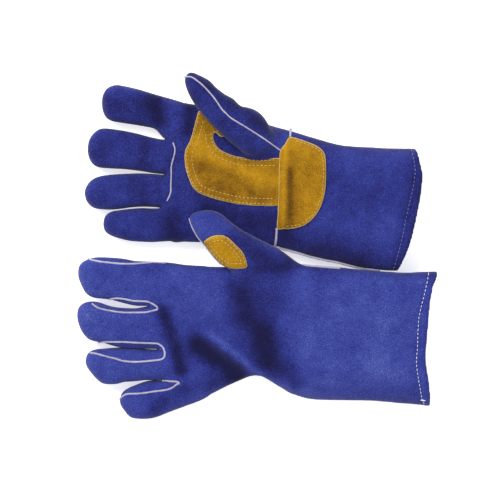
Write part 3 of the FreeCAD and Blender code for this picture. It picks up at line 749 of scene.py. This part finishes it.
def inner_line(outline, inset, keep):
    """A line inside a closed outline, at one distance from it."""
    line = curve(outline, True, 1.0)
    t = unit(np.roll(line, -1, axis=0) - np.roll(line, 1, axis=0))
    normal = np.stack([-t[:, 1], t[:, 0]], axis=1)
    area = np.sum(line[:, 0] * np.roll(line[:, 1], -1) - np.roll(line[:, 0], -1) * line[:, 1])
    inner = line + normal * (inset if area > 0 else -inset)
    good = depth(outline, *inner.T) > inset * 0.93
    good &= np.array([keep(x, y) for x, y in inner])
    order = np.roll(np.arange(len(inner)), -int(np.argmin(good)))
    runs = np.split(order, np.flatnonzero(np.diff(good[order])) + 1)
    return [inner[run][::3] for run in runs if good[run[0]] and len(run) > 12]


def moved(outline, dx, middle, to, scale):
    """An outline carried from one glove's palm to the other's."""
    return [(x + dx, to + (y - middle) * scale) for x, y in outline]


# ---------------------------------------------------------------- materials

GRAINS = ((38, 3, 0.55), (170, 4, 0.6), (1050, 3, 0.65))  # scale, detail, roughness: blotches, pile, nap


def srgb(*rgb):
    """A colour given in 0 to 255, as the shader reads it."""
    return tuple(c / 255 / 12.92 if c <= 10 else ((c / 255 + 0.055) / 1.055) ** 2.4 for c in rgb) + (1,)


def put(node, values):
    """Sets a node's inputs."""
    for key, value in values.items():
        node.inputs[key].default_value = value


def attribute(n, name):
    """A map kept on the mesh's points, as a shader node."""
    node = n.new("ShaderNodeAttribute")
    node.attribute_name = name
    return node


def add(n, join, a, b, weight):
    """a + (b - 0.5) * weight, where a is a socket or a plain number."""
    m = n.new("ShaderNodeMath")
    m.operation = "MULTIPLY_ADD"
    join(b, m.inputs[0])
    m.inputs[1].default_value = weight
    if isinstance(a, float):
        m.inputs[2].default_value = a - 0.5 * weight
        return m.outputs[0]
    shift = n.new("ShaderNodeMath")
    shift.operation = "ADD"
    join(a, shift.inputs[0])
    shift.inputs[1].default_value = -0.5 * weight
    join(shift.outputs[0], m.inputs[2])
    return m.outputs[0]


def suede(name, colours, mottle=0.5, nap=0.35, bump=0.5, sheen=0.3, painted_shade_and_tone=True, edge=None):
    """Napped leather: blotches, a fine nap and rubbed places, from dark to light colours, moved by the mesh's
    map of painted shade and highlights where it has one.
    """
    m = bpy.data.materials.new(name)
    m.use_nodes = True
    n, join = m.node_tree.nodes, m.node_tree.links.new
    shader = n["Principled BSDF"]
    at = attribute(n, "rest")
    values = []
    for scale, detail, rough in GRAINS:
        t = n.new("ShaderNodeTexNoise")
        put(t, {"Scale": scale, "Detail": detail, "Roughness": rough})
        join(at.outputs["Vector"], t.inputs["Vector"])
        values.append(t.outputs["Fac"])
    # painted shade and highlights with the leather's mottling, from the map kept on the mesh
    value = attribute(n, "painted_shade_and_tone").outputs["Fac"] if painted_shade_and_tone else 0.5
    for texture, weight in zip(values, (mottle, mottle * 0.8, nap)):
        value = add(n, join, value, texture, weight)
    ramp = n.new("ShaderNodeValToRGB")
    join(value, ramp.inputs[0])
    places = np.linspace(0.12, 0.88, len(colours))
    while len(ramp.color_ramp.elements) < len(colours):
        ramp.color_ramp.elements.new(0.5)
    for e, p, c in zip(ramp.color_ramp.elements, places, colours):
        e.position, e.color = p, srgb(*c)
    colour = ramp.outputs[0]
    if edge:
        worn = add(n, join, attribute(n, "edge").outputs["Fac"], values[2], 0.5)
        mix = n.new("ShaderNodeMix")
        mix.data_type = "RGBA"
        join(worn, mix.inputs["Factor"])
        join(colour, mix.inputs[6])
        mix.inputs[7].default_value = srgb(*edge)
        colour = mix.outputs[2]
    join(colour, shader.inputs["Base Color"])
    put(shader, {"Roughness": 0.92, "Specular IOR Level": 0.15})
    put(shader, {"Sheen Weight": sheen, "Sheen Roughness": 0.45})
    height = add(n, join, values[2], values[1], 1.2)
    b = n.new("ShaderNodeBump")
    put(b, {"Strength": bump, "Distance": 0.0006})
    join(height, b.inputs["Height"])
    join(b.outputs[0], shader.inputs["Normal"])
    return m


blue = suede("suede_blue_look", [(17, 16, 58), (31, 33, 98), (46, 55, 137), (67, 78, 157), (106, 120, 190)],
             mottle=0.24, nap=1.1, bump=1.0, sheen=0.18)
gold = suede("suede_gold_look", [(84, 54, 2), (136, 94, 8), (178, 130, 14), (206, 158, 24), (232, 194, 70)],
             mottle=0.25, nap=0.7, bump=1.0, sheen=0.08, edge=(206, 176, 96))
pale = suede("welt_look", [(112, 106, 130), (158, 152, 174), (188, 184, 202), (212, 208, 222)],
             nap=0.5, painted_shade_and_tone=False)
cream = suede("thread_look", [(150, 120, 56), (188, 158, 84), (214, 186, 116), (232, 210, 150)],
              nap=0.5, bump=0.3, painted_shade_and_tone=False)
white = suede("white_thread_look", [(190, 188, 196), (220, 218, 224), (236, 236, 240), (248, 248, 250)],
              painted_shade_and_tone=False)
lilac = suede("hem_thread_look", [(70, 72, 138), (102, 104, 164), (132, 132, 184), (158, 158, 200)],
              painted_shade_and_tone=False)
cotton = suede("lining_look", [(120, 116, 112), (160, 156, 150), (190, 186, 178), (208, 204, 198)],
               bump=0.8, painted_shade_and_tone=False)

# ---------------------------------------------------------------- the right glove, palm up

right = Glove(
    "right", RIGHT, (-178, -46, -2), (170, 182, 55),
    heights=[(-170, 11), (-95, 11.5), (-60, 12.8), (20, 13.2), (86, 16), (150, 20)],
    edges=[(-170, 13.5), (-100, 14), (-70, 19), (-40, 24), (30, 27), (90, 31), (160, 34)],
    powers=[(-100, 2.5), (-60, 2.2), (60, 2.1), (160, 2.0)],
    marks=[
        ([(-99, 154), (-97, 140), (-98, 126)], -1.9, 4), ([(-66, 144), (-68, 130), (-66, 118)], -1.7, 5),
        ([(-83, 148), (-82, 122)], 0.9, 3.5), ([(-50, 38), (-52, 24), (-48, 12)], -1.6, 6),
        ([(27, 110), (26, 80), (25, 50), (24, 24)], 2.4, 3.4),
        ([(34, 96), (33, 80), (32, 50), (32, 26)], -1.7, 2.6), (RIGHT["gunn"], -1.2, 2.2),
        ([(-62, 102), (-30, 76), (2, 62)], 1.0, 7), ([(-55, 74), (-25, 60), (4, 54)], -1.1, 6),
        ([(-60, 88), (-38, 84), (-12, 72)], -0.9, 4), ([(-40, 30), (-10, 24), (14, 18)], 1.0, 7),
        (RIGHT["hemstitch"], -1.0, 2.4), ([(64, 94), (100, 80), (140, 88)], 1.2, 12),
        ([(62, 30), (95, 26), (136, 34)], 1.2, 12), ([(-128, 118), (-126, 82)], -0.7, 3),
        ([(-122, 77), (-124, 43)], -0.6, 3), ([(-112, 42), (-114, 11)], -0.7, 3),
        ([(-122, 158), (-118, 126)], -0.6, 3), ([(-2, 24), (16, 40), (18, 60)], -0.8, 5),
    ],
    # painted shade in valleys, under the thumb and patches and at finger bases, painted highlights on ridges,
    # and some broad tone changes
    painted_shade_and_tone_marks=[
        ([(-178, 60), (170, 60)], -0.11, 200), ([(-40, 38), (-10, 30), (15, 24)], -0.18, 10),
        ([(26, 15), (60, 3), (104, -9)], -0.14, 8), ([(-105, 150), (-96, 130)], -0.2, 7),
        ([(-66, 146), (-68, 118)], -0.18, 5), ([(-145, 142), (-115, 140)], -0.1, 10),
        ([(-64, 176), (-36, 152), (-10, 136), (8, 120)], -0.16, 6), ([(-112, 106), (-110, 85)], -0.12, 5),
        ([(-112, 68), (-112, 50)], -0.12, 5), ([(-85, 34), (-82, 16)], -0.2, 8),
        ([(32, 80), (31, 34)], -0.14, 2.0), ([(-44, 118), (-20, 98), (14, 92)], -0.1, 6),
        ([(-150, 100), (-160, 92)], -0.06, 6), ([(-58, 84), (-34, 78), (-8, 64)], -0.1, 4),
        ([(-50, 66), (-20, 56), (10, 52)], -0.06, 5), ([(-62, 110), (-40, 90), (-4, 76)], 0.1, 5),
    ],
    thumb={
        "mid": [(-52, 14), (-24, 27), (0, 36), (55, 39)],
        "half": [(-50, 10), (0, 11.5), (50, 10.5)],
        "round": 14,
        "marks": [([(-22, 139), (-27, 128)], -1.8, 3.2), ([(6, 120), (0, 112)], -1.6, 3.5),
                  ([(-46, 152), (-54, 140)], -0.9, 4)],
    },
)
right.build_leather(blue)
right.build_lining(cotton)
right.patch("palm_patch_leather", RIGHT["palmpatch"], gold, 1.5, node="palm_patch")
right.patch("wrist_patch_leather", RIGHT["dpatch"], gold, 2.8, node="wrist_patch")
for inset in (2.2, 7.4):
    for line in inner_line(RIGHT["palmpatch"], inset, lambda x, y: x < 17):
        right.stitches(line, 1.6)
for line in inner_line(RIGHT["dpatch"], 2.8, lambda x, y: x > 27):
    right.stitches(line, 2.9)
right.welt(RIGHT["gunn"])
right.welt(RIGHT["thumbwelt"], thumb=True)
right.welt(RIGHT["wristseam"], 2.2)
right.welt(RIGHT["wristseam2"], 2.2)
right.welt(RIGHT["sideseam"], 2.6, 1.8)
right.stitches(RIGHT["hemstitch"], 0.15, kind="hem_threads")
under = [(-48, 146), (-36, 134), (-28, 140), (-38, 153)]
right.patch("thumb_patch_leather", under, gold, 1.3, up=False, node="thumb_patch", body="thumb", thumb=True)
right.finish_trim({"welts": pale, "threads": cream, "hem_threads": lilac})

# ---------------------------------------------------------------- the left glove, back up

left = Glove(
    "left", LEFT, (-182, -170, -2), (182, 48, 48),
    heights=[(-170, 11), (-95, 11.8), (-60, 13), (20, 13.4), (80, 16.5), (170, 20)],
    edges=[(-170, 13.5), (-110, 14.5), (-80, 20), (-40, 25), (30, 27), (90, 31), (170, 34)],
    powers=[(-110, 2.5), (-60, 2.2), (60, 2.1), (170, 2.0)],
    marks=[
        ([(-93, -55), (-85, -78), (-75, -113)], -2.4, 5), ([(-60, -88), (-40, -107), (-18, -119)], -3.4, 7),
        ([(-50, -78), (-20, -100), (3, -119), (30, -133)], 2.8, 4.5),
        ([(8, -22), (2, -60), (8, -118)], -3.0, 12), ([(46, -22), (42, -75), (50, -138)], 1.2, 10),
        ([(-8, -14), (20, -13), (45, -11)], -1.4, 2.4), (LEFT["hemstitch"], -1.0, 2.4),
        ([(70, -40), (110, -60), (150, -50)], 1.3, 12), ([(70, -120), (110, -110), (150, -118)], 1.2, 12),
        ([(-130, -8), (-128, -48)], -0.7, 3), ([(-132, -56), (-130, -88)], -0.7, 3),
        ([(-128, -98), (-128, -124)], -0.6, 3), ([(-104, -128), (-100, -158)], -0.7, 3),
        ([(-70, -30), (-40, -50), (-10, -55)], 0.9, 9),
    ],
    # painted shade in valleys and at the wrist, a painted highlight along the ridge, and some broad tone
    # changes over the cuff and fingers
    painted_shade_and_tone_marks=[
        ([(-93, -57), (-85, -78), (-75, -113)], -0.26, 5), ([(-58, -88), (-40, -101), (-22, -112)], -0.29, 8),
        ([(-22, -30), (-14, -58)], -0.2, 8), ([(8, -78), (12, -106)], -0.21, 8),
        ([(30, -110), (36, -128)], -0.15, 6), ([(-46, -128), (-20, -121)], -0.14, 5),
        ([(80, -80), (140, -80)], 0.08, 28), ([(-46, -79), (-20, -100), (3, -119)], 0.14, 3.0),
        ([(-8, -40), (-2, -75), (12, -104)], -0.12, 13), ([(-60, -126), (-100, -150)], -0.1, 6),
        ([(-20, 14), (6, -4), (26, -10)], -0.2, 8), ([(-160, -30), (-150, -112)], 0.07, 30),
        ([(-110, -30), (-80, -40)], 0.04, 20), ([(-54, 30), (-40, 22)], 0.06, 8),
    ],
    thumb={
        "mid": [(-45, 12.5), (-20, 15.5), (0, 20.5), (45, 25)],
        "half": [(-45, 9), (0, 11), (45, 10.5)],
        "round": 13.5,
        "marks": [([(-22, 26), (-32, 14)], -0.9, 4), ([(-40, 40), (-50, 26)], -0.7, 4)],
    },
)
left.build_leather(blue)
left.build_lining(cotton)
for key in ("welt_index", "welt_im", "welt_mr", "welt_rl"):
    left.welt(LEFT[key], 1.9)
left.welt(LEFT["thumbwelt"], thumb=True)
left.welt(LEFT["sideseam"], 2.2, 1.8)
left.stitches(LEFT["hemstitch"], 0.2)
left.patch("thumb_patch_leather", LEFT["thumbpatch"], gold, 1.4, node="thumb_patch", body="thumb", thumb=True)
for inset in (2.2, 5.4):
    for line in inner_line(LEFT["thumbpatch"], inset, lambda x, y: x > -49 and y > -11):
        left.stitches(line, 1.5, thumb=True, kind="gold_threads")
other_palm = moved(RIGHT["palmpatch"], -13, 73, -77, 0.92)
other_wrist = moved(RIGHT["dpatch"], -13, 62, -80, 0.95)
left.patch("palm_patch_leather", other_palm, gold, 1.3, up=False, node="palm_patch")
left.patch("wrist_patch_leather", other_wrist, gold, 1.3, up=False, node="wrist_patch")
left.stitches([(158.6, -142.2), (164.6, -143)], 0.4, pitch=1.2, long=5.4, thick=1.3)
left.finish_trim({"welts": pale, "threads": white, "gold_threads": cream})

# ---------------------------------------------------------------- floor, light and camera

floor_look = suede("floor_look", [(236, 236, 238), (242, 242, 243), (246, 246, 247), (250, 250, 250)],
                   mottle=0.2, nap=0.1, bump=0.0, sheen=0.0, painted_shade_and_tone=False)
put(floor_look.node_tree.nodes["Principled BSDF"], {"Emission Color": (1, 1, 1, 1), "Emission Strength": 0.6})
floor_mesh = bpy.data.meshes.new("floor")
floor_mesh.from_pydata([(-3, -3, 0), (3, -3, 0), (3, 3, 0), (-3, 3, 0)], [], [(0, 1, 2, 3)])
floor_mesh.materials.append(floor_look)
linked("floor", floor_mesh)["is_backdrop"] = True


def area_light(name, place, size, power):
    data = bpy.data.lights.new(name, "AREA")
    data.size, data.energy = size, power
    obj = linked(name, data)
    obj.location = place
    obj.rotation_euler = (-Vector(place)).to_track_quat("-Z", "Y").to_euler()


area_light("key", (-1.1, 1.2, 1.9), 1.1, 46)
area_light("fill", (1.5, -1.0, 1.8), 1.8, 14)
world = bpy.data.worlds.new("studio")
world.use_nodes = True
put(world.node_tree.nodes["Background"], {"Color": (0.95, 0.96, 1.0, 1), "Strength": 0.6})
bpy.context.scene.world = world
bpy.context.scene.view_settings.view_transform = "Standard"

AIM = (-0.00784, 0.00147)  # the place under the camera, in metres
CAMERA_HEIGHT = 2.5
camera = bpy.data.cameras.new("camera")
camera.lens = 182.2
camera.clip_end = 20
eye = linked("camera", camera)
eye.location = (AIM[0] + SHIFT[0] / 1000, AIM[1] + SHIFT[1] / 1000, CAMERA_HEIGHT)
bpy.context.scene.camera = eye

[[list(map(float, corner)) for corner in box] for box in (cad_box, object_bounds())]
